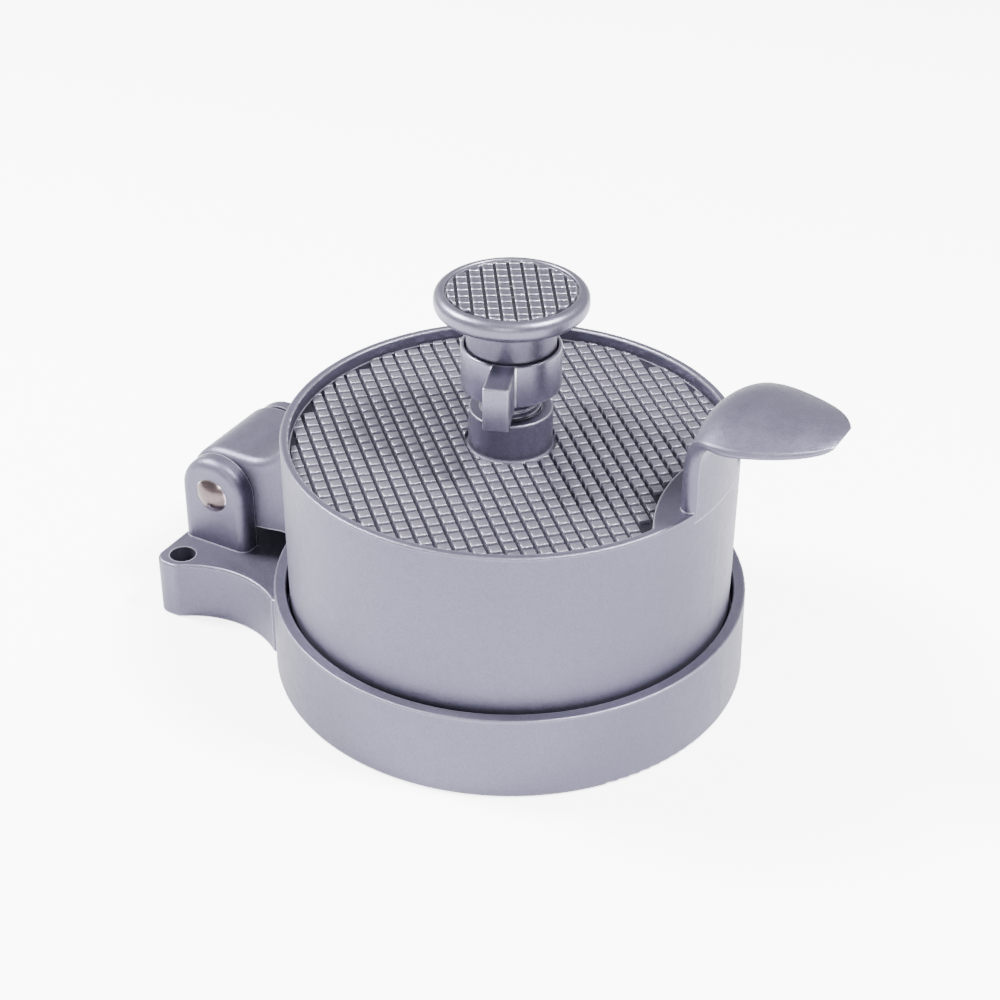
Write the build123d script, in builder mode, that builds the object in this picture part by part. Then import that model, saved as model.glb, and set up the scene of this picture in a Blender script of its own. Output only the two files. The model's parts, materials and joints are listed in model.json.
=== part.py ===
from build123d import *
import math
import os

# Hinged aluminium patty press. Millimetres, +Z up, +X from the hinge to the handle.
# The origin is the centre of the base ring, on the plane that it stands on.

# ---- driving dimensions: patty chamber ----
chamber_radius = 57.15
lid_wall = 2.6
lid_draft = 0.35
lid_height = 54.05
lid_ring_clearance = 0.95

# ---- driving dimensions: base ----
ring_wall = 3.3
ring_draft = 0.4
ring_height = 24.0
ring_edge = 0.5
ring_foot_edge = 0.7
bed_top = 16.0
bed_thickness = 4.0
skirt_thickness = 3.4

tail_past_pin = 11.2
tail_half_width = 35.0
tail_height = 17.3
tail_scoop_radius = 27.0
tail_waist_half_width = 29.5
tail_corner_radius = 4.5
scoop_corner_radius = 3.0
tail_hole_diameter = 7.4
tail_hole_from_end = 6.3
tail_hole_from_side = 6.0
cast_edge = 0.8

# ---- driving dimensions: hinge ----
pin_radius = 4.0
hinge_setback = 20.0
hinge_rise = 16.3
ear_radius = 10.7
ear_thickness = 5.4
ear_edge_radius = 2.8
knuckle_radius = 11.5
knuckle_half_width = 14.75
knuckle_edge_radius = 2.8
knuckle_side_gap = 0.25
pin_ear_clearance = 0.02
pin_knuckle_clearance = 0.06
pin_head_radius = 5.1
pin_head_height = 1.9
pin_washer_radius = 7.5
pin_washer_thickness = 1.0
clip_radius = 6.4
clip_thickness = 0.8
clip_groove_depth = 0.8
clip_prong_width = 2.4
clip_play = 0.05
pin_tail_length = 1.6

# ---- driving dimensions: lid ----
rim_width = 2.3
rim_depth = 3.75
plate_thickness = 4.0
boss_wall = 3.02
boss_height = 10.95
boss_edge = 0.4
root_radius = 1.0
rim_edge = 0.6
rim_inner_edge = 0.4
patch_depth = 12.9
patch_radius = 52.5
arm_cove_radius = 15.0
arm_cove_start = 8.0
arm_blend_rise = 5.0
arm_ring_clearance = 0.8
handle_thickness = 4.3
handle_half_width = 12.0
handle_rise = 10.0
handle_root = 3.0
post_spans = 4
handle_proud = 0.1
thumb_rise = 28.2
thumb_half_width = 17.2

# ---- driving dimensions: thickness adjuster ----
thread_radius = 7.9
thread_clearance = 0.08
nut_gap = 6.45
sleeve_length = 43.65
cup_radius = 13.0
cup_bore_radius = 12.0
cup_height = 11.9
cup_floor = 1.5
wing_reach = 24.75
wing_root_width = 6.0
wing_tip_width = 6.8
wing_edge = 0.7
wing_direction = -69.7

# ---- driving dimensions: plunger ----
rod_radius = 4.0
rod_running_clearance = 0.05
rod_top_radius = 3.0
rod_seat_depth = 1.0
knob_radius = 19.8
knob_crown_radius = 16.9
knob_flange = 5.3
knob_gap = 9.9
knob_edge = 2.1
pad_height = 0.8
hub_cup_clearance = 0.4
hub_engagement = 1.3
hub_wall = 1.9
hub_ceiling = 1.9
knob_thread_depth = 4.2
thread_fit = 0.02
lock_nut_flats = 10.0
lock_nut_height = 3.2
press_plate_thickness = 4.0
press_plate_clearance = 0.3
press_plate_rim = 7.0
press_plate_rim_wall = 2.2
press_plate_hub_radius = 9.0
stop_washer_thickness = 1.2
press_plate_hub_height = 1.85
plate_screw_radius = 2.5
plate_screw_head_radius = 4.8
plate_screw_depth = 10.0

# ---- driving dimensions: return spring ----
spring_wire = 1.1
spring_inset = 1.7
spring_turns = 5
spring_washer_clearance = 0.4
seat_washer_thickness = 0.8
cap_washer_thickness = 0.6

# ---- how near an edge or corner counts as the one meant ----
corner_match = 0.01

# ---- worked-out sizes and places ----
lid_radius_bottom = chamber_radius + lid_wall
lid_radius_top = lid_radius_bottom + lid_draft
ring_bore_radius = lid_radius_bottom + lid_ring_clearance
ring_radius_top = ring_bore_radius + ring_wall
ring_radius_bottom = ring_radius_top + ring_draft
pin_axis_x = -ring_radius_bottom - hinge_setback
pin_axis_z = tail_height + hinge_rise
tail_end = tail_past_pin - pin_axis_x
tail_hole_spacing = 2 * (tail_half_width - tail_hole_from_side)
lid_top = bed_top + lid_height
plate_top = lid_top - rim_depth
boss_radius = thread_radius + thread_clearance + boss_wall
hub_radius = cup_bore_radius - hub_cup_clearance
spring_washer_radius = hub_radius - hub_wall - spring_washer_clearance
spring_radius = spring_washer_radius - spring_inset
bed_underside = bed_top - bed_thickness
ring_inner_skirt = ring_radius_bottom - skirt_thickness
ear_inner = knuckle_half_width + knuckle_side_gap
ear_outer = ear_inner + ear_thickness
plate_underside = plate_top - plate_thickness
rim_inner_radius = lid_radius_top - rim_width
boss_top = plate_top + boss_height
nut_bottom = boss_top + nut_gap
nut_top = nut_bottom + cup_height
cup_floor_top = nut_bottom + cup_floor
sleeve_end = nut_bottom - sleeve_length
knob_underside = nut_top + knob_gap
knob_top = knob_underside + knob_flange
hub_bottom = nut_top - hub_engagement
hub_cavity_top = knob_underside - hub_ceiling
seat_washer_top = cup_floor_top + seat_washer_thickness
cap_washer_bottom = hub_cavity_top - cap_washer_thickness
press_plate_radius = chamber_radius - press_plate_clearance
press_plate_hub_top = sleeve_end - stop_washer_thickness
press_plate_top = press_plate_hub_top - press_plate_hub_height
press_plate_bottom = press_plate_top - press_plate_thickness
rod_bottom = press_plate_hub_top - rod_seat_depth

os.makedirs("parts", exist_ok=True)


def save(builder, label):
    """Name a finished piece and write it."""
    builder.part.label = label
    export_step(builder.part, f"parts/{label}.step")


def at_corner(x, y):
    """A test for the profile corner at a place in its own sketch."""
    return lambda vertex: math.hypot(vertex.X - x, vertex.Y - y) < corner_match


def washer(outer, inner, low, thickness):
    """A flat washer on the vertical axis, from its lower face up."""
    with BuildPart() as ring:
        with BuildSketch(Plane.XY.offset(low)):
            Circle(outer)
            Circle(inner, mode=Mode.SUBTRACT)
        extrude(amount=thickness)
    return ring


# ---- base casting: ring, bed, tail and hinge ears ----
scoop_centre_y = tail_waist_half_width + tail_scoop_radius
scoop_centre_x = -math.sqrt((ring_radius_top + tail_scoop_radius) ** 2 - scoop_centre_y**2)
scoop_side_y = scoop_centre_y - tail_half_width
scoop_start_x = scoop_centre_x - math.sqrt(tail_scoop_radius**2 - scoop_side_y**2)

with BuildPart() as tail:
    with BuildSketch() as tail_plan:
        with Locations((-tail_end / 2, 0)):
            Rectangle(tail_end, 2 * tail_half_width)
        with Locations((scoop_centre_x, scoop_centre_y), (scoop_centre_x, -scoop_centre_y)):
            Circle(tail_scoop_radius, mode=Mode.SUBTRACT)
        fillet(tail_plan.vertices().group_by(Axis.X)[0], tail_corner_radius)
        scoop_corners = [v for v in tail_plan.vertices() if abs(v.X - scoop_start_x) < corner_match]
        fillet(scoop_corners, scoop_corner_radius)
    extrude(amount=tail_height)
    fillet(tail.faces().sort_by(Axis.Z)[-1].edges(), cast_edge)
    with Locations((-tail_end + tail_hole_from_end, 0)):
        with GridLocations(0, tail_hole_spacing, 1, 2):
            Hole(tail_hole_diameter / 2, depth=tail_height)

with BuildPart() as near_ear:
    with BuildSketch(Plane.XZ.offset(ear_inner)):
        with Locations((pin_axis_x, pin_axis_z)):
            Circle(ear_radius)
        with Locations((pin_axis_x, pin_axis_z)):
            Rectangle(2 * ear_radius, pin_axis_z - tail_height / 2, align=(Align.CENTER, Align.MAX))
    extrude(amount=ear_thickness)
    outer_face = near_ear.faces().sort_by(Axis.Y)[0]
    fillet(outer_face.edges().sort_by(Axis.Z)[1:], ear_edge_radius)

with BuildPart() as base_casting:
    add(tail.part)
    with Locations((0, 0, ring_height / 2)):
        Cylinder(ring_inner_skirt, 2 * ring_height, mode=Mode.SUBTRACT)
    with BuildSketch(Plane.XZ) as base_profile:
        with BuildLine():
            Polyline(
                (0, bed_underside),
                (ring_inner_skirt, bed_underside),
                (ring_inner_skirt, 0),
                (ring_radius_bottom, 0),
                (ring_radius_top, ring_height),
                (ring_bore_radius, ring_height),
                (ring_bore_radius, bed_top),
                (0, bed_top),
                close=True,
            )
        make_face()
        fillet(base_profile.vertices().group_by(Axis.Y)[-1], ring_edge)
        fillet(base_profile.vertices().group_by(Axis.Y)[0].sort_by(Axis.X)[-1], ring_foot_edge)
    revolve(axis=Axis.Z)
    add(near_ear.part)
    add(mirror(near_ear.part, about=Plane.XZ, mode=Mode.PRIVATE))
    with BuildSketch(Plane.XZ):
        with Locations((pin_axis_x, pin_axis_z)):
            Circle(pin_radius + pin_ear_clearance)
    extrude(amount=ear_outer + pin_radius, both=True, mode=Mode.SUBTRACT)
save(base_casting, "base_casting")


# ---- hinge pin with its washer and clip ----
clip_plane_y = ear_outer + pin_washer_thickness + clip_play
pin_end_y = clip_plane_y + clip_thickness + clip_play + pin_tail_length
clip_seat_radius = pin_radius - clip_groove_depth
head_dome = (pin_head_radius**2 + pin_head_height**2) / (2 * pin_head_height)

with BuildPart() as hinge_pin:
    with BuildSketch(Plane.YZ.offset(pin_axis_x)):
        with BuildLine():
            RadiusArc(
                (-ear_outer - pin_head_height, pin_axis_z),
                (-ear_outer, pin_axis_z + pin_head_radius),
                head_dome,
            )
            Polyline(
                (-ear_outer, pin_axis_z + pin_head_radius),
                (-ear_outer, pin_axis_z + pin_radius),
                (clip_plane_y - clip_play, pin_axis_z + pin_radius),
                (clip_plane_y - clip_play, pin_axis_z + clip_seat_radius),
                (clip_plane_y + clip_thickness + clip_play, pin_axis_z + clip_seat_radius),
                (clip_plane_y + clip_thickness + clip_play, pin_axis_z + pin_radius),
                (pin_end_y - clip_groove_depth, pin_axis_z + pin_radius),
                (pin_end_y, pin_axis_z + clip_seat_radius),
                (pin_end_y, pin_axis_z),
                (-ear_outer - pin_head_height, pin_axis_z),
            )
        make_face()
    revolve(axis=Axis((pin_axis_x, 0, pin_axis_z), (0, 1, 0)))
save(hinge_pin, "hinge_pin")

with BuildPart() as hinge_pin_washer:
    with BuildSketch(Plane.XZ.offset(-ear_outer)):
        with Locations((pin_axis_x, pin_axis_z)):
            Circle(pin_washer_radius)
            Circle(pin_radius + pin_knuckle_clearance, mode=Mode.SUBTRACT)
    extrude(amount=-pin_washer_thickness)
save(hinge_pin_washer, "hinge_pin_washer")

with BuildPart() as hinge_pin_clip:
    with BuildSketch(Plane.XZ.offset(-clip_plane_y)):
        with Locations((pin_axis_x, pin_axis_z)):
            Circle(clip_radius)
            Circle(pin_radius + clip_groove_depth, mode=Mode.SUBTRACT)
            with PolarLocations(0, 3, start_angle=90):
                Rectangle(clip_radius, clip_prong_width, align=(Align.MIN, Align.CENTER))
            Circle(clip_seat_radius, mode=Mode.SUBTRACT)
        with Locations((pin_axis_x, pin_axis_z - clip_radius)):
            Rectangle(2 * clip_seat_radius, 2 * clip_radius, mode=Mode.SUBTRACT)
    extrude(amount=-clip_thickness)
save(hinge_pin_clip, "hinge_pin_clip")


# ---- lid casting: chamber, boss, hinge arm and handle ----
arm_top = pin_axis_z + knuckle_radius
arm_bottom = pin_axis_z - knuckle_radius
cove_start_x = pin_axis_x + arm_cove_start
cove_end_x = cove_start_x + arm_cove_radius
cove_mid = arm_cove_radius * math.sin(math.radians(45))
arm_over_ring = ring_height + arm_ring_clearance
wall_middle = (chamber_radius + lid_radius_bottom) / 2

with BuildPart() as hinge_arm:
    with BuildSketch(Plane.XZ):
        with BuildLine():
            ThreePointArc(
                (pin_axis_x, arm_top), (pin_axis_x - knuckle_radius, pin_axis_z), (pin_axis_x, arm_bottom)
            )
            Polyline(
                (pin_axis_x, arm_bottom),
                (-ring_radius_bottom - arm_ring_clearance, arm_over_ring),
                (-chamber_radius, arm_over_ring),
                (-chamber_radius, arm_top + arm_cove_radius + arm_blend_rise),
                (-lid_radius_top, arm_top + arm_cove_radius + arm_blend_rise),
                (cove_end_x, arm_top + arm_cove_radius),
            )
            ThreePointArc(
                (cove_end_x, arm_top + arm_cove_radius),
                (cove_start_x + cove_mid, arm_top + arm_cove_radius - cove_mid),
                (cove_start_x, arm_top),
            )
            Line((cove_start_x, arm_top), (pin_axis_x, arm_top))
        make_face()
    extrude(amount=knuckle_half_width, both=True)
    side_edges = hinge_arm.faces().sort_by(Axis.Y)[0].edges() + hinge_arm.faces().sort_by(Axis.Y)[-1].edges()
    before_lid = [e for e in side_edges if e.center().X < cove_end_x - knuckle_edge_radius / 2]
    over_arm = [e for e in before_lid if e.center().Z > arm_over_ring]
    fillet(over_arm, knuckle_edge_radius)
    Cylinder(wall_middle, 4 * arm_top, mode=Mode.SUBTRACT)

# Sections of the handle's post and thumb piece, each at its own place on the crown line:
# x, z, heading in degrees above +X, half width, crown drop, middle thickness, edge thickness.
post_x = lid_radius_top - handle_thickness + handle_proud
thumb_z = lid_top + thumb_rise
handle_hollow = -(lid_radius_top - math.sqrt(lid_radius_top**2 - handle_half_width**2))
post_end = (handle_half_width, handle_hollow, handle_thickness, handle_thickness)
bend_half_width = handle_half_width + 0.9
post_step = (handle_root + handle_rise) / post_spans
post_low = lid_top - handle_root
post_sections = [(post_x, post_low + k * post_step, 90, *post_end) for k in range(post_spans + 1)]
thumb_sections = [
    (post_x - 0.2, thumb_z - 10.8, 83, bend_half_width, 0.2, handle_thickness + 0.2, handle_thickness - 0.1),
    (post_x + 1.8, thumb_z - 3.8, 58, thumb_half_width - 1.4, 3.0, handle_thickness + 0.5, 3.4),
    (post_x + 7.6, thumb_z - 0.8, 20, thumb_half_width, 3.8, handle_thickness + 0.3, 2.6),
    (post_x + 14.8, thumb_z - 0.8, -2, thumb_half_width, 3.4, handle_thickness - 0.1, 2.2),
    (post_x + 22.2, thumb_z - 1.2, -7, thumb_half_width - 2.2, 2.7, handle_thickness - 0.4, 2.0),
    (post_x + 28.7, thumb_z - 1.8, -12, thumb_half_width - 5.6, 1.7, handle_thickness - 0.8, 2.0),
    (post_x + 32.8, thumb_z - 2.6, -20, thumb_half_width - 9.4, 0.9, handle_thickness - 1.3, 1.9),
    (post_x + 34.5, thumb_z - 3.3, -30, thumb_half_width - 12.6, 0.4, handle_thickness - 2.1, 1.5),
]

with BuildPart() as handle:
    for x, z, heading, half_width, crown, thickness, edge in post_sections + thumb_sections:
        turn = math.radians(heading)
        station = Plane(origin=(x, 0, z), x_dir=(0, 1, 0), z_dir=(math.cos(turn), 0, math.sin(turn)))
        with BuildSketch(station):
            low = -crown - edge
            middle = -crown - edge / 2
            side = half_width + edge / 3
            with BuildLine():
                ThreePointArc((-half_width, -crown), (0, 0), (half_width, -crown))
                ThreePointArc((half_width, -crown), (side, middle), (half_width, low))
                ThreePointArc((half_width, low), (0, -thickness), (-half_width, low))
                ThreePointArc((-half_width, low), (-side, middle), (-half_width, -crown))
            make_face()
    loft()

with BuildPart() as lid_casting:
    with BuildSketch(Plane.XZ) as lid_profile:
        with BuildLine():
            Polyline(
                (thread_radius + thread_clearance, plate_underside),
                (chamber_radius, plate_underside),
                (chamber_radius, bed_top),
                (lid_radius_bottom, bed_top),
                (lid_radius_top, lid_top),
                (rim_inner_radius, lid_top),
                (rim_inner_radius, plate_top),
                (boss_radius, plate_top),
                (boss_radius, boss_top),
                (thread_radius + thread_clearance, boss_top),
                close=True,
            )
        make_face()
        fillet(lid_profile.vertices().filter_by(at_corner(boss_radius, plate_top)), root_radius)
        fillet(lid_profile.vertices().filter_by(at_corner(boss_radius, boss_top)), boss_edge)
        fillet(lid_profile.vertices().filter_by(at_corner(lid_radius_top, lid_top)), rim_edge)
        fillet(lid_profile.vertices().filter_by(at_corner(rim_inner_radius, lid_top)), rim_inner_edge)
    revolve(axis=Axis.Z)
    with BuildSketch(Plane.XY.offset(plate_top - plate_thickness / 2)):
        Circle(lid_radius_top - rim_width / 2)
        with Locations((lid_radius_top - patch_depth + patch_radius, 0)):
            Circle(patch_radius, mode=Mode.INTERSECT)
    extrude(amount=lid_top - plate_top + plate_thickness / 2)
    add(hinge_arm.part)
    add(handle.part)
    with BuildSketch(Plane.XZ):
        with Locations((pin_axis_x, pin_axis_z)):
            Circle(pin_radius + pin_knuckle_clearance)
    extrude(amount=2 * knuckle_half_width, both=True, mode=Mode.SUBTRACT)
save(lid_casting, "lid_casting")


# ---- thickness adjuster: winged cup and its threaded sleeve in one casting ----
with BuildPart() as wing:
    with BuildSketch(Plane.XY.offset(nut_bottom)):
        Polygon(
            (0, -wing_root_width / 2),
            (wing_reach, -wing_tip_width / 2),
            (wing_reach, wing_tip_width / 2),
            (0, wing_root_width / 2),
            align=None,
        )
    extrude(amount=cup_height)
    fillet(wing.faces().sort_by(Axis.X)[-1].edges(), wing_edge)

with BuildPart() as wing_nut:
    with BuildSketch(Plane.XY.offset(nut_bottom)):
        Circle(cup_radius)
    extrude(amount=cup_height)
    with PolarLocations(0, 2, start_angle=wing_direction):
        add(wing.part)
    with BuildSketch(Plane.XY.offset(cup_floor_top)):
        Circle(cup_bore_radius)
    extrude(amount=cup_height, mode=Mode.SUBTRACT)
    with BuildSketch(Plane.XY.offset(sleeve_end)):
        Circle(thread_radius)
    extrude(amount=sleeve_length)
    with BuildSketch(Plane.XY.offset(sleeve_end)):
        Circle(rod_radius + rod_running_clearance)
    extrude(amount=sleeve_length + cup_height, mode=Mode.SUBTRACT)
save(wing_nut, "wing_nut")


# ---- return spring between its two washers ----
rod_bore = rod_radius + rod_running_clearance
seat_washer = washer(spring_washer_radius, rod_bore, cup_floor_top, seat_washer_thickness)
save(seat_washer, "spring_seat_washer")
rod_top_bore = rod_top_radius + thread_fit
cap_washer = washer(spring_washer_radius, rod_top_bore, cap_washer_bottom, cap_washer_thickness)
save(cap_washer, "spring_cap_washer")

coil_height = cap_washer_bottom - seat_washer_top - spring_wire
with BuildPart() as return_spring:
    with BuildLine(Plane.XY.offset(seat_washer_top + spring_wire / 2)):
        coil = Helix(pitch=coil_height / spring_turns, height=coil_height, radius=spring_radius)
    with BuildSketch(Plane(origin=coil @ 0, z_dir=coil % 0)):
        Circle(spring_wire / 2)
    sweep(path=coil, is_frenet=True)
save(return_spring, "return_spring")


# ---- plunger: rod, knob, lock nut, press plate, washer and screw ----
rod_shoulder = cap_washer_bottom - lock_nut_height
rod_top = hub_cavity_top + knob_thread_depth
with BuildPart() as plunger_rod:
    with BuildSketch(Plane.XY.offset(rod_bottom)):
        Circle(rod_radius)
    extrude(amount=rod_shoulder - rod_bottom)
    with BuildSketch(Plane.XY.offset(rod_shoulder)):
        Circle(rod_top_radius)
    extrude(amount=rod_top - rod_shoulder)
    with BuildSketch(Plane.XY.offset(rod_bottom)):
        Circle(plate_screw_radius + thread_fit)
    extrude(amount=plate_screw_depth + thread_fit, mode=Mode.SUBTRACT)
save(plunger_rod, "plunger_rod")

with BuildPart() as knob:
    with BuildSketch(Plane.XZ):
        with BuildLine():
            Polyline(
                (0, hub_cavity_top),
                (hub_radius - hub_wall, hub_cavity_top),
                (hub_radius - hub_wall, hub_bottom),
                (hub_radius, hub_bottom),
                (hub_radius, knob_underside),
                (knob_radius, knob_underside),
                (knob_radius, knob_top),
                (0, knob_top),
                close=True,
            )
        make_face()
    revolve(axis=Axis.Z)
    knob_circles = knob.edges().filter_by(GeomType.CIRCLE)
    rim_edges = knob_circles.filter_by(lambda e: abs(e.radius - knob_radius) < corner_match)
    neck_edges = knob_circles.filter_by(lambda e: abs(e.radius - hub_radius) < corner_match)
    fillet(rim_edges, knob_edge)
    fillet(neck_edges.sort_by(Axis.Z)[-1], root_radius)
    with BuildSketch(Plane.XY.offset(knob_top)):
        Circle(knob_crown_radius)
    extrude(amount=-pad_height, mode=Mode.SUBTRACT)
    with BuildSketch(Plane.XY.offset(hub_cavity_top)):
        Circle(rod_top_radius + thread_fit)
    extrude(amount=knob_thread_depth + thread_fit, mode=Mode.SUBTRACT)
save(knob, "knob")

with BuildPart() as knob_lock_nut:
    with BuildSketch(Plane.XY.offset(cap_washer_bottom - lock_nut_height)):
        RegularPolygon(lock_nut_flats / 2, 6, major_radius=False)
        Circle(rod_top_radius + thread_fit, mode=Mode.SUBTRACT)
    extrude(amount=lock_nut_height)
save(knob_lock_nut, "knob_lock_nut")

with BuildPart() as press_plate:
    with BuildSketch(Plane.XY.offset(press_plate_bottom)):
        Circle(press_plate_radius)
    extrude(amount=press_plate_thickness)
    with BuildSketch(Plane.XY.offset(press_plate_bottom)):
        Circle(press_plate_radius)
        Circle(press_plate_radius - press_plate_rim_wall, mode=Mode.SUBTRACT)
    extrude(amount=press_plate_rim)
    with BuildSketch(Plane.XY.offset(press_plate_top)):
        Circle(press_plate_hub_radius)
    extrude(amount=press_plate_hub_height)
    with BuildSketch(Plane.XY.offset(rod_bottom)):
        Circle(rod_radius + thread_fit)
    extrude(amount=rod_seat_depth, mode=Mode.SUBTRACT)
    with Locations(Plane(origin=(0, 0, press_plate_bottom), x_dir=(1, 0, 0), z_dir=(0, 0, -1))):
        screw_bore = plate_screw_radius + thread_fit
        CounterSinkHole(screw_bore, plate_screw_head_radius + thread_fit, counter_sink_angle=90)
save(press_plate, "press_plate")

stop_washer = washer(press_plate_hub_radius, rod_bore, press_plate_hub_top, stop_washer_thickness)
save(stop_washer, "plunger_stop_washer")

screw_cone = plate_screw_head_radius - plate_screw_radius
with BuildPart() as plate_screw:
    with BuildSketch(Plane.XZ):
        with BuildLine():
            Polyline(
                (0, press_plate_bottom),
                (plate_screw_head_radius, press_plate_bottom),
                (plate_screw_radius, press_plate_bottom + screw_cone),
                (plate_screw_radius, rod_bottom + plate_screw_depth),
                (0, rod_bottom + plate_screw_depth),
                close=True,
            )
        make_face()
    revolve(axis=Axis.Z)
save(plate_screw, "plate_screw")
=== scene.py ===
import json
import math

import bmesh
import bpy
from mathutils import Euler, Matrix, Vector


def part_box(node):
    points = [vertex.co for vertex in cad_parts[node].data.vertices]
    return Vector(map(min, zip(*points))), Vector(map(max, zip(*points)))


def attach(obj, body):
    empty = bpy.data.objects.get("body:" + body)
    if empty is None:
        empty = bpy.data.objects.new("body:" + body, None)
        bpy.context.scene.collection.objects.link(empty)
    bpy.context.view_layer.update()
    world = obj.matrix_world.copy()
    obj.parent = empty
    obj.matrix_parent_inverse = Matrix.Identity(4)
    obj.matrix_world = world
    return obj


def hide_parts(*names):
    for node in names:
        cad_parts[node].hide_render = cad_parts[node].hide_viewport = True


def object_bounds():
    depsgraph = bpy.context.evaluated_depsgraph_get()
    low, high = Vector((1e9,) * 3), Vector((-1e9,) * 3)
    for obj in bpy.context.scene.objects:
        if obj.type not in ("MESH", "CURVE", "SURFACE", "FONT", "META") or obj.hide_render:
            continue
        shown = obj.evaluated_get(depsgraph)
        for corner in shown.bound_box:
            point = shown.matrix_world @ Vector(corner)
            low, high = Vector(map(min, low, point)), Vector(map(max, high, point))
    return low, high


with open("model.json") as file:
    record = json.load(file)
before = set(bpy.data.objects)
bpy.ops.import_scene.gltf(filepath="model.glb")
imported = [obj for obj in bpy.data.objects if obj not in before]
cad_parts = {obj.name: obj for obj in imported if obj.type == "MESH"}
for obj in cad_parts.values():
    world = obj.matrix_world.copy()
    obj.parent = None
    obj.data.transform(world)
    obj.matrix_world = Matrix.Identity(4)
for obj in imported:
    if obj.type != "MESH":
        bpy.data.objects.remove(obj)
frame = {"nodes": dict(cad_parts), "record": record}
cad_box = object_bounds()

MM = 0.001

# ---- camera: the photographed view of the press, in metres and degrees ----
CAMERA_AZIMUTH = 29.5
CAMERA_ELEVATION = 32.8
CAMERA_ROLL = 0.28
CAMERA_DISTANCE = 0.556
CAMERA_TARGET_HEIGHT = 0.048
CAMERA_SIDE_STEP = -0.0027
CAMERA_LENS = 75.17
SENSOR_WIDTH = 36

# ---- waffle pads, in millimetres and degrees ----
LID_PLATE_TOP = 66.3
LID_PAD_HEIGHT = 1.0
LID_PAD_PITCH = 3.88
LID_PAD_SIZE = 2.95
LID_PAD_FIELD = 57.2
LID_PAD_ANGLE = 45
BOSS_SKIRT = 12.1
PATCH_CENTRE = 99.7
PATCH_RADIUS = 53.0
KNOB_PAD_HEIGHT = 0.8
KNOB_PAD_PITCH = 3.5
KNOB_PAD_SIZE = 2.75
KNOB_PAD_ANGLE = 33.5
KNOB_PAD_FIELD = 16.4
# inset and rise of a pad's loops: the first two rise from the floor, the others from the pad's top
PAD_LEVELS = ((-0.1, -0.25), (0.0, 0.0), (0.06, -0.24), (0.16, -0.07), (0.34, 0.0))
PAD_LEVELS_FROM_TOP = 2
SMALLEST_PAD = 0.6

# ---- wing nut, in millimetres and degrees ----
CUP_HEIGHT = 11.9
CUP_FLOOR = 1.5
CUP_BORE_RADIUS = 12.0
CUP_RADIUS = 13.0
SLEEVE_BORE_RADIUS = 4.05
THREAD_CREST = 7.88
THREAD_PITCH = 2.0
THREAD_DEPTH = 0.95
THREAD_ROWS_PER_PITCH = 14
THREAD_ROOT_WIDTH = 0.12
THREAD_FLANK_WIDTH = 0.7
THREAD_LEAD_IN = 1.0
WING_ANGLE = -69.7
WING_ROOT_REACH = 11.8
WING_TIP_REACH = 24.75
WING_ROOT_HALF_WIDTH = 3.0
WING_TIP_HALF_WIDTH = 3.4
WING_EDGE_RADIUS = 0.62

# ---- knob, in millimetres ----
KNOB_RADIUS = 19.8
KNOB_FLANGE = 5.3
KNOB_CEILING = 1.9
KNOB_BORE_RADIUS = 3.02
KNOB_DISH_RADIUS = 17.0
KNOB_DISH_FLOOR_RADIUS = 16.75
HUB_RADIUS = 11.6
HUB_BORE_RADIUS = 9.7
CROWN_RADIUS = 3.2

# ---- looks: metal tones, edges rubbed bright and painted as a highlight, the painted shade on the floors between pads (low, high and radius in millimetres), light ----
CAST_COLOUR = (0.112, 0.106, 0.152)
# bright edge colour and the radius of its mask: metal rubbed bright, and also a painted edge highlight
CAST_WORN_AND_HIGHLIGHT = (0.75, 0.74, 0.86)
WORN_AND_HIGHLIGHT_EDGE = 0.0007
# painted shade in the recesses: how dark the floors between the pads are painted, and where
GROOVE_SHADE_DARKNESS = 0.3
LID_GROOVE_SHADE = (66.1, 66.6, 57.85)
KNOB_GROOVE_SHADE = (109.7, 110.2, 16.9)
FLOOR_SIZE = 6
FLOOR_DROP = 0.0002
FLOOR_COLOUR = (0.93, 0.93, 0.935, 1)
FLOOR_GLOW_ON_OBJECT = 0.7
FLOOR_GLOW_TO_CAMERA = 4.5
HORIZON_COLOUR = (1.0, 1.0, 1.0)
ZENITH_COLOUR = (0.55, 0.55, 0.57)
SKY_STRENGTH = 1.2
LIGHT_TARGET = (0, 0, 0.05)
LIGHTS = (
    ("upper_left", (-0.62, -0.12, 0.72), 0.2, 30.0),
    ("upper_right", (0.5, 0.12, 0.9), 0.2, 34.0),
    ("front", (0.3, -0.9, 0.6), 0.4, 6.0),
)


def place_camera():
    """The camera stands round the object's axis, turned and raised as in the photograph."""
    data = bpy.data.cameras.new("camera")
    data.lens = CAMERA_LENS
    data.sensor_width = SENSOR_WIDTH
    data.clip_start = 0.01
    data.clip_end = 20
    camera = bpy.data.objects.new("camera", data)
    bpy.context.scene.collection.objects.link(camera)
    azimuth = math.radians(CAMERA_AZIMUTH)
    elevation = math.radians(CAMERA_ELEVATION)
    across = Vector((math.cos(azimuth), math.sin(azimuth), 0))
    away = Vector((-math.sin(azimuth), math.cos(azimuth), 0))
    place = across * CAMERA_SIDE_STEP - away * CAMERA_DISTANCE * math.cos(elevation)
    place.z = CAMERA_TARGET_HEIGHT + CAMERA_DISTANCE * math.sin(elevation)
    aim = Euler((math.pi / 2 - elevation, 0, azimuth)).to_matrix()
    roll = Matrix.Rotation(math.radians(CAMERA_ROLL), 3, "Z")
    camera.matrix_world = Matrix.Translation(place) @ (aim @ roll).to_4x4()
    bpy.context.scene.camera = camera


# ---- materials ----
def shader_nodes(name):
    """A new material with its node tree and its Principled shader."""
    material = bpy.data.materials.new(name)
    material.use_nodes = True
    tree = material.node_tree
    return material, tree, tree.nodes["Principled BSDF"]


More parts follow.
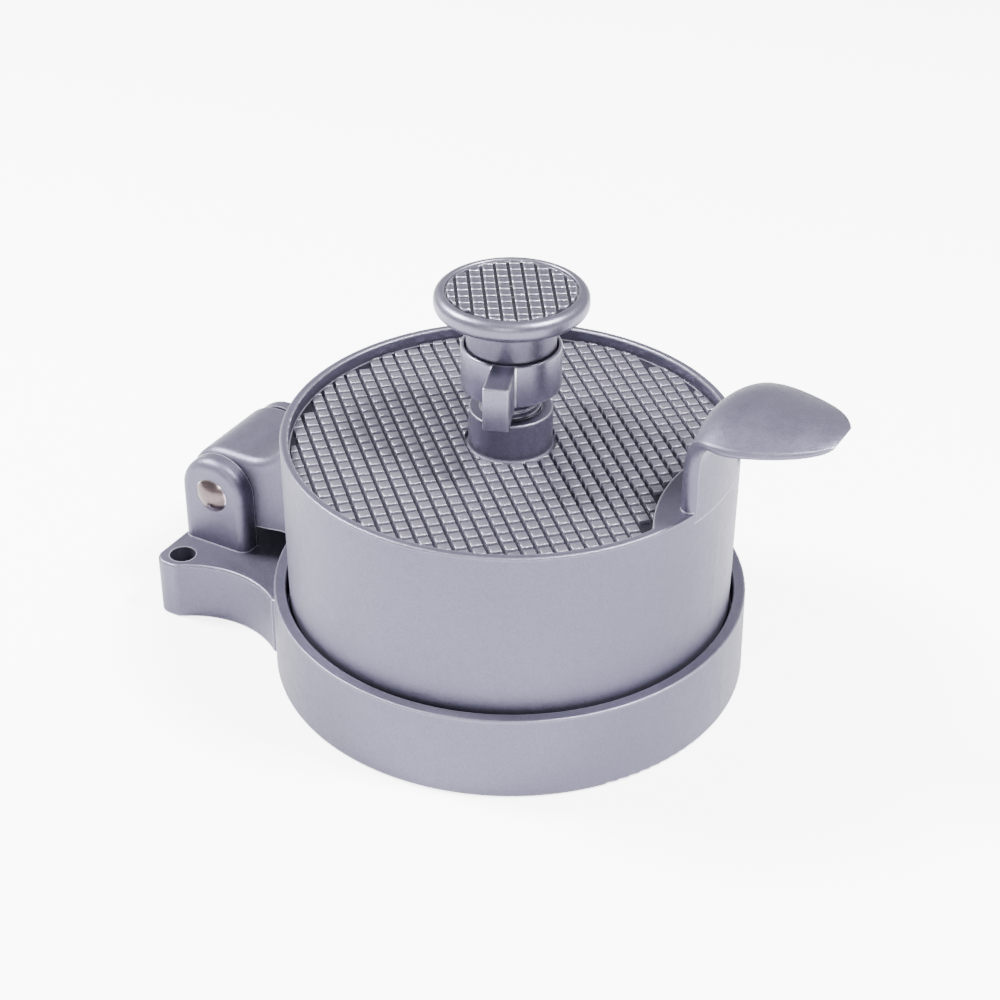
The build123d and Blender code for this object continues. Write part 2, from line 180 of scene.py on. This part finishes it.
def noise(tree, coordinates, scale, detail=3.0, roughness=0.55):
    """A noise texture read in object space, scale in features per metre."""
    node = tree.nodes.new("ShaderNodeTexNoise")
    node.inputs["Scale"].default_value = scale
    node.inputs["Detail"].default_value = detail
    node.inputs["Roughness"].default_value = roughness
    tree.links.new(coordinates, node.inputs["Vector"])
    return node.outputs["Fac"]


def ramp(tree, value, low, high, low_colour, high_colour):
    """A two-stop colour ramp over value."""
    node = tree.nodes.new("ShaderNodeValToRGB")
    node.color_ramp.elements[0].position = low
    node.color_ramp.elements[0].color = (*low_colour, 1)
    node.color_ramp.elements[1].position = high
    node.color_ramp.elements[1].color = (*high_colour, 1)
    tree.links.new(value, node.inputs["Fac"])
    return node.outputs["Color"]


def mix_colour(tree, factor, first, second, blend="MIX"):
    """First mixed with second by a linked or a plain factor."""
    node = tree.nodes.new("ShaderNodeMix")
    node.data_type = "RGBA"
    node.blend_type = blend
    if isinstance(factor, float):
        node.inputs["Factor"].default_value = factor
    else:
        tree.links.new(factor, node.inputs["Factor"])
    for value, socket in ((first, node.inputs[6]), (second, node.inputs[7])):
        if isinstance(value, tuple):
            socket.default_value = (*value, 1)
        else:
            tree.links.new(value, socket)
    return node.outputs[2]


def math_node(tree, operation, first, second=None, clamp=False):
    """A math node over linked or plain values."""
    node = tree.nodes.new("ShaderNodeMath")
    node.operation = operation
    node.use_clamp = clamp
    for value, socket in zip((first, second), node.inputs):
        if isinstance(value, (int, float)):
            socket.default_value = value
        elif value is not None:
            tree.links.new(value, socket)
    return node.outputs[0]


def worn_and_highlight_edge_mask(tree, radius, gain):
    """Near 1 on edges, which handling rubs bright and which are also painted bright as the highlight where
    light catches the rounding, from how far a rounded normal leaves the true one.
    """
    rounded = tree.nodes.new("ShaderNodeBevel")
    rounded.samples = 6
    rounded.inputs["Radius"].default_value = radius
    true = tree.nodes.new("ShaderNodeNewGeometry")
    dot = tree.nodes.new("ShaderNodeVectorMath")
    dot.operation = "DOT_PRODUCT"
    tree.links.new(rounded.outputs["Normal"], dot.inputs[0])
    tree.links.new(true.outputs["Normal"], dot.inputs[1])
    away = math_node(tree, "SUBTRACT", 1.0, dot.outputs["Value"])
    return math_node(tree, "MULTIPLY", away, gain, clamp=True)


def groove_shade_mask(tree, place, low, high, radius):
    """1 between two heights and inside a radius, in millimetres: the recessed floor between raised pads,
    where shade is painted.
    """
    split = tree.nodes.new("ShaderNodeSeparateXYZ")
    tree.links.new(place, split.inputs[0])
    x, y, z = split.outputs
    above = math_node(tree, "GREATER_THAN", z, low * MM)
    below = math_node(tree, "LESS_THAN", z, high * MM)
    squares = math_node(tree, "ADD", math_node(tree, "POWER", x, 2), math_node(tree, "POWER", y, 2))
    reach = math_node(tree, "SQRT", squares)
    inside = math_node(tree, "LESS_THAN", reach, radius * MM)
    return math_node(tree, "MULTIPLY", math_node(tree, "MULTIPLY", above, below), inside)


def metal(
    name,
    colour,
    worn_and_highlight,
    roughness,
    metallic,
    grain,
    grain_height,
    speckle,
    wear_and_highlight=6.0,
    blotch=0.05,
    groove=None,
):
    """Metal with a fine grain bump, speckled tone, slow blotches and edges rubbed bright, their brightness
    partly a painted highlight.

    grain is in features per metre, grain_height in metres, and speckle and blotch are shares of the tone.
    """
    material, tree, shader = shader_nodes(name)
    place = tree.nodes.new("ShaderNodeTexCoord").outputs["Object"]
    fine = noise(tree, place, grain, 4.0, 0.7)
    coarse = noise(tree, place, grain / 6, 3.0)
    slow = noise(tree, place, 28, 2.0)
    dark = tuple(c * (1 - speckle) for c in colour)
    light = tuple(min(1, c * (1 + speckle)) for c in colour)
    speckled = ramp(tree, fine, 0.35, 0.65, dark, light)
    shade = ramp(tree, slow, 0.3, 0.7, (1 - blotch,) * 3, (1, 1, 1))
    toned = mix_colour(tree, 1.0, speckled, shade, "MULTIPLY")
    if groove:
        # painted shade: the floor between the pads is darkened where shade falls in the recesses
        shaded_floor = tuple(c * GROOVE_SHADE_DARKNESS for c in colour)
        toned = mix_colour(tree, groove_shade_mask(tree, place, *groove), toned, shaded_floor)
    # the edge mask brightens the base colour: partly real rubbing, partly a painted highlight on rounded
    # edges
    edges = worn_and_highlight_edge_mask(tree, WORN_AND_HIGHLIGHT_EDGE, wear_and_highlight)
    tree.links.new(mix_colour(tree, edges, toned, worn_and_highlight), shader.inputs["Base Color"])
    rough = math_node(tree, "MULTIPLY_ADD", coarse, 0.16)
    rough.node.inputs[2].default_value = roughness - 0.08
    smooth_edges = math_node(tree, "MULTIPLY", edges, -0.15)
    tree.links.new(math_node(tree, "ADD", rough, smooth_edges, clamp=True), shader.inputs["Roughness"])
    shader.inputs["Metallic"].default_value = metallic
    height = math_node(tree, "MULTIPLY_ADD", fine, 0.6)
    tree.links.new(coarse, height.node.inputs[2])
    bump = tree.nodes.new("ShaderNodeBump")
    bump.inputs["Strength"].default_value = 0.5
    bump.inputs["Distance"].default_value = grain_height
    tree.links.new(height, bump.inputs["Height"])
    tree.links.new(bump.outputs["Normal"], shader.inputs["Normal"])
    return material


# each metal's second colour is painted on its edges: metal rubbed bright, and also a painted edge highlight
CAST = metal("cast_aluminium", CAST_COLOUR, CAST_WORN_AND_HIGHLIGHT, 0.46, 0.85, 2600, 0.00018, 0.12)
LID = metal(
    "lid_aluminium", CAST_COLOUR, CAST_WORN_AND_HIGHLIGHT, 0.46, 0.85, 2600, 0.00018, 0.12, groove=LID_GROOVE_SHADE
)
# a lighter copy of the cast metal for the lid's pads: painted light, for the light their bevelled tops
# catch
LIT_PAD_ALUMINIUM = metal(
    "waffle_aluminium_painted_light", (0.2, 0.19, 0.24), (0.62, 0.61, 0.70), 0.44, 0.85, 2300, 0.00018, 0.12, wear_and_highlight=3.0
)
TUMBLED = metal(
    "tumbled_aluminium", (0.17, 0.162, 0.225), (0.98, 0.97, 1.0), 0.33, 0.92, 1900, 0.0001, 0.1
)
KNOB = metal(
    "knob_aluminium",
    (0.15, 0.142, 0.195),
    (0.9, 0.89, 0.97),
    0.36,
    0.9,
    1900,
    0.0001,
    0.1,
    groove=KNOB_GROOVE_SHADE,
)
STEEL = metal(
    "pin_steel", (0.14, 0.105, 0.11), (0.6, 0.54, 0.55), 0.24, 1.0, 900, 0.00005, 0.1, wear_and_highlight=2.0, blotch=0.3
)
SPRING = metal(
    "spring_steel", (0.26, 0.25, 0.30), (0.6, 0.6, 0.66), 0.3, 1.0, 1500, 0.00003, 0.05, wear_and_highlight=1.0
)

SLOT_MATERIALS = {
    "cast_aluminium": CAST,
    "tumbled_aluminium": TUMBLED,
    "steel": STEEL,
    "spring_steel": SPRING,
}


# ---- mesh helpers ----
def new_object(name, bm, material, smooth_angle):
    """A piece from a bmesh in millimetres, shaded smooth below an angle."""
    bm.normal_update()
    mesh = bpy.data.meshes.new(name)
    bm.to_mesh(mesh)
    bm.free()
    mesh.transform(Matrix.Scale(MM, 4))
    piece = bpy.data.objects.new(name, mesh)
    bpy.context.scene.collection.objects.link(piece)
    mesh.materials.append(material)
    for polygon in mesh.polygons:
        polygon.use_smooth = True
    mesh.set_sharp_from_angle(angle=math.radians(smooth_angle))
    return piece


def rounded_profile(corners, steps=5):
    """A closed outline whose corners are (r, z, radius): each is rounded by its own radius."""
    points = []
    count = len(corners)
    for index, (r, z, radius) in enumerate(corners):
        here = Vector((r, z))
        if radius <= 0:
            points.append((r, z))
            continue
        before = (Vector(corners[index - 1][:2]) - here).normalized()
        after = (Vector(corners[(index + 1) % count][:2]) - here).normalized()
        half = before.angle(after) / 2
        reach = radius / math.tan(half)
        centre = here + (before + after).normalized() * radius / math.sin(half)
        start = here + before * reach - centre
        end = here + after * reach - centre
        turn = start.angle_signed(end)
        for step in range(steps + 1):
            angle = -turn * step / steps
            across = start.x * math.cos(angle) - start.y * math.sin(angle)
            up = start.x * math.sin(angle) + start.y * math.cos(angle)
            points.append(tuple(centre + Vector((across, up))))
    return points


def lathe(bm, outline, segments, radius_at=None):
    """A closed outline of (r, z) turned about Z; radius_at may change a point's radius by its angle."""
    rings = []
    for step in range(segments):
        angle = 2 * math.pi * step / segments
        ring = []
        for r, z in outline:
            reach = radius_at(r, z, angle) if radius_at else r
            ring.append(bm.verts.new((reach * math.cos(angle), reach * math.sin(angle), z)))
        rings.append(ring)
    count = len(outline)
    for step in range(segments):
        here = rings[step]
        there = rings[(step + 1) % segments]
        for index in range(count):
            following = (index + 1) % count
            bm.faces.new((here[index], there[index], there[following], here[following]))
    bmesh.ops.recalc_face_normals(bm, faces=bm.faces)


def clipped(polygon, normal, limit):
    """The part of a convex polygon where point . normal is at most limit."""
    kept = []
    for index, point in enumerate(polygon):
        previous = polygon[index - 1]
        inside = point.dot(normal) <= limit
        was_inside = previous.dot(normal) <= limit
        if inside != was_inside:
            share = (limit - previous.dot(normal)) / (point - previous).dot(normal)
            kept.append(previous + (point - previous) * share)
        if inside:
            kept.append(point)
    return kept


def pad_outline(planes, inset):
    """The convex outline inside every (normal, limit) plane, drawn in by inset."""
    reach = 200
    polygon = [Vector((x * reach, y * reach)) for x, y in ((-1, -1), (1, -1), (1, 1), (-1, 1))]
    for normal, limit in planes:
        polygon = clipped(polygon, normal, limit - inset)
        if len(polygon) < 3:
            return []
    return polygon


def waffle(name, pitch, size, angle, field, floor, height, keep_out, material):
    """Square raised pads on a grid, cut by the field's circle and by each (x, radius) circle kept clear."""
    bm = bmesh.new()
    along = Vector((math.cos(math.radians(angle)), math.sin(math.radians(angle))))
    across = Vector((-along.y, along.x))
    reach = int(field / pitch) + 1
    levels = list(PAD_LEVELS[:PAD_LEVELS_FROM_TOP])
    levels += [(inset, height + drop) for inset, drop in PAD_LEVELS[PAD_LEVELS_FROM_TOP:]]
    for row in range(-reach, reach + 1):
        for column in range(-reach, reach + 1):
            centre = (along * (row + 0.5) + across * (column + 0.5)) * pitch
            if centre.length > field + size:
                continue
            planes = [
                (along, centre.dot(along) + size / 2),
                (-along, -centre.dot(along) + size / 2),
                (across, centre.dot(across) + size / 2),
                (-across, -centre.dot(across) + size / 2),
                (centre.normalized(), field),
            ]
            for x, radius in keep_out:
                outward = (centre - Vector((x, 0))).normalized()
                planes.append((-outward, -(Vector((x, 0)).dot(outward) + radius)))
            outlines = [pad_outline(planes, inset) for inset, _ in levels]
            sides = {len(outline) for outline in outlines}
            if len(sides) != 1 or 0 in sides:
                continue
            spread = max((a - b).length for a in outlines[-1] for b in outlines[-1])
            if spread < SMALLEST_PAD:
                continue
            loops = []
            for outline, (_, rise) in zip(outlines, levels):
                loops.append([bm.verts.new((p.x, p.y, floor + rise)) for p in outline])
            for lower, upper in zip(loops, loops[1:]):
                for index in range(len(lower)):
                    following = (index + 1) % len(lower)
                    bm.faces.new((lower[index], lower[following], upper[following], upper[index]))
            bm.faces.new(loops[-1])
            bm.faces.new(list(reversed(loops[0])))
    return new_object(name, bm, material, 50)


# ---- pieces ----
def dress_cad_nodes():
    """Every carried-over node gets its slot's material, and the lid one with painted shade on its waffle
    floor.
    """
    for entry in frame["record"]["subparts"]:
        node = frame["nodes"][entry["node"]]
        node.data.materials.clear()
        node.data.materials.append(SLOT_MATERIALS[entry["material_slot"]])
    frame["nodes"]["lid_casting"].data.materials[0] = LID


def add_to(bm, extra):
    """Joins a second bmesh to the first and frees it."""
    scratch = bpy.data.meshes.new("scratch")
    extra.to_mesh(scratch)
    extra.free()
    bm.from_mesh(scratch)
    bpy.data.meshes.remove(scratch)


def wing(bottom, top):
    """One wing of the nut along +X, a little wider at its tip, with rounded edges."""
    bm = bmesh.new()
    loops = []
    for reach, half in ((WING_ROOT_REACH, WING_ROOT_HALF_WIDTH), (WING_TIP_REACH, WING_TIP_HALF_WIDTH)):
        corners = [(-half, bottom), (half, bottom), (half, top), (-half, top)]
        loops.append([bm.verts.new((reach, y, z)) for y, z in corners])
    near, far = loops
    for index in range(4):
        following = (index + 1) % 4
        bm.faces.new((near[index], near[following], far[following], far[index]))
    bm.faces.new(far)
    bm.faces.new(list(reversed(near)))
    bmesh.ops.recalc_face_normals(bm, faces=bm.faces)
    edges = list(bm.edges)
    bmesh.ops.bevel(
        bm, geom=edges, offset=WING_EDGE_RADIUS, segments=4, profile=0.5, affect="EDGES", clamp_overlap=True
    )
    return bm


def make_wing_nut():
    """The winged cup with its threaded sleeve."""
    low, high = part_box("wing_nut")
    top = high.z / MM
    sleeve_end = low.z / MM
    bottom = top - CUP_HEIGHT
    floor = bottom + CUP_FLOOR
    outline = rounded_profile(
        [
            (SLEEVE_BORE_RADIUS, floor, 0.2),
            (CUP_BORE_RADIUS, floor, 0.6),
            (CUP_BORE_RADIUS, top, 0.35),
            (CUP_RADIUS, top, 0.62),
            (CUP_RADIUS, bottom, 0.7),
            (THREAD_CREST - THREAD_DEPTH, bottom, 0.0),
        ]
    )
    steps = int((bottom - sleeve_end) / (THREAD_PITCH / THREAD_ROWS_PER_PITCH))
    for step in range(1, steps + 1):
        outline.append((THREAD_CREST, bottom - (bottom - sleeve_end) * step / steps))
    outline.append((SLEEVE_BORE_RADIUS, sleeve_end))

    def threaded(r, z, angle):
        """The sleeve's outside dips into a helical groove, and runs out at its lower end."""
        if r != THREAD_CREST:
            return r
        phase = (z / THREAD_PITCH - angle / (2 * math.pi)) % 1
        flank = abs(2 * phase - 1)
        ridge = min(1, max(0, (flank - THREAD_ROOT_WIDTH) / THREAD_FLANK_WIDTH))
        taper = min(1, (z - sleeve_end) / THREAD_LEAD_IN)
        return THREAD_CREST - THREAD_DEPTH * (1 - ridge * taper)

    bm = bmesh.new()
    lathe(bm, outline, 120, threaded)
    for turn in (0, math.pi):
        blade = wing(bottom, top)
        blade.transform(Matrix.Rotation(math.radians(WING_ANGLE) + turn, 4, "Z"))
        add_to(bm, blade)
    nut = new_object("wing_nut_body", bm, TUMBLED, 42)
    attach(nut, "wing_nut")
    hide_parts("wing_nut")


def make_knob():
    """The mushroom knob with its waffle crown."""
    low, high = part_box("knob")
    top = high.z / MM
    hub_end = low.z / MM
    under = top - KNOB_FLANGE
    ceiling = under - KNOB_CEILING
    dish = top - KNOB_PAD_HEIGHT
    outline = rounded_profile(
        [
            (KNOB_BORE_RADIUS, ceiling, 0.2),
            (HUB_BORE_RADIUS, ceiling, 0.8),
            (HUB_BORE_RADIUS, hub_end, 0.2),
            (HUB_RADIUS, hub_end, 0.3),
            (HUB_RADIUS, under, 1.6),
            (KNOB_RADIUS, under, 1.9),
            (KNOB_RADIUS, top, 2.3),
            (KNOB_DISH_RADIUS, top, 0.5),
            (KNOB_DISH_FLOOR_RADIUS, dish, 0.1),
            (KNOB_BORE_RADIUS, dish, 0.0),
        ],
        7,
    )
    bm = bmesh.new()
    lathe(bm, outline, 144)
    crown = bmesh.new()
    bmesh.ops.create_circle(crown, cap_ends=True, segments=48, radius=CROWN_RADIUS)
    crown.transform(Matrix.Translation((0, 0, dish)))
    add_to(bm, crown)
    knob = new_object("knob_body", bm, KNOB, 40)
    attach(knob, "plunger")
    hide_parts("knob")
    pads = waffle(
        "knob_waffle",
        KNOB_PAD_PITCH,
        KNOB_PAD_SIZE,
        KNOB_PAD_ANGLE,
        KNOB_PAD_FIELD,
        dish,
        KNOB_PAD_HEIGHT,
        [],
        KNOB,
    )
    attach(pads, "plunger")


def make_lid_waffle():
    """The raised pads on the lid's plate, in a lighter copy of the cast metal that paints light on their
    tops.
    """
    pads = waffle(
        "lid_waffle",
        LID_PAD_PITCH,
        LID_PAD_SIZE,
        LID_PAD_ANGLE,
        LID_PAD_FIELD,
        LID_PLATE_TOP,
        LID_PAD_HEIGHT,
        [(0, BOSS_SKIRT), (PATCH_CENTRE, PATCH_RADIUS)],
        LIT_PAD_ALUMINIUM,
    )
    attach(pads, "lid")


# ---- studio ----
def area_light(name, place, size, power):
    """A soft square white light that faces the middle of the press."""
    data = bpy.data.lights.new(name, "AREA")
    data.size = size
    data.energy = power
    light = bpy.data.objects.new(name, data)
    bpy.context.scene.collection.objects.link(light)
    light.location = place
    light.rotation_euler = (Vector(LIGHT_TARGET) - Vector(place)).to_track_quat("-Z", "Y").to_euler()


def make_floor():
    """A pale floor that looks white to the camera, and lights the object's walls only softly."""
    floor_low = cad_box[0][2]
    bpy.ops.mesh.primitive_plane_add(size=FLOOR_SIZE, location=(0, 0, floor_low - FLOOR_DROP))
    floor = bpy.context.object
    floor.name = "floor"
    material, tree, shader = shader_nodes("pale_floor")
    shader.inputs["Base Color"].default_value = FLOOR_COLOUR
    shader.inputs["Roughness"].default_value = 0.9
    shader.inputs["Emission Color"].default_value = (1, 1, 1, 1)
    path = tree.nodes.new("ShaderNodeLightPath")
    glow = tree.nodes.new("ShaderNodeMapRange")
    glow.inputs["To Min"].default_value = FLOOR_GLOW_ON_OBJECT
    glow.inputs["To Max"].default_value = FLOOR_GLOW_TO_CAMERA
    tree.links.new(path.outputs["Is Camera Ray"], glow.inputs["Value"])
    tree.links.new(glow.outputs["Result"], shader.inputs["Emission Strength"])
    floor.data.materials.append(material)


def make_surround():
    """A sky that is white at the horizon and greyer overhead."""
    world = bpy.data.worlds.new("studio")
    world.use_nodes = True
    tree = world.node_tree
    direction = tree.nodes.new("ShaderNodeTexCoord").outputs["Generated"]
    split = tree.nodes.new("ShaderNodeSeparateXYZ")
    tree.links.new(direction, split.inputs[0])
    sky = ramp(tree, split.outputs["Z"], 0.02, 0.5, HORIZON_COLOUR, ZENITH_COLOUR)
    background = tree.nodes["Background"]
    tree.links.new(sky, background.inputs["Color"])
    background.inputs["Strength"].default_value = SKY_STRENGTH
    bpy.context.scene.world = world


place_camera()
dress_cad_nodes()
make_wing_nut()
make_knob()
make_lid_waffle()
make_floor()
make_surround()
for name, place, size, power in LIGHTS:
    area_light(name, place, size, power)
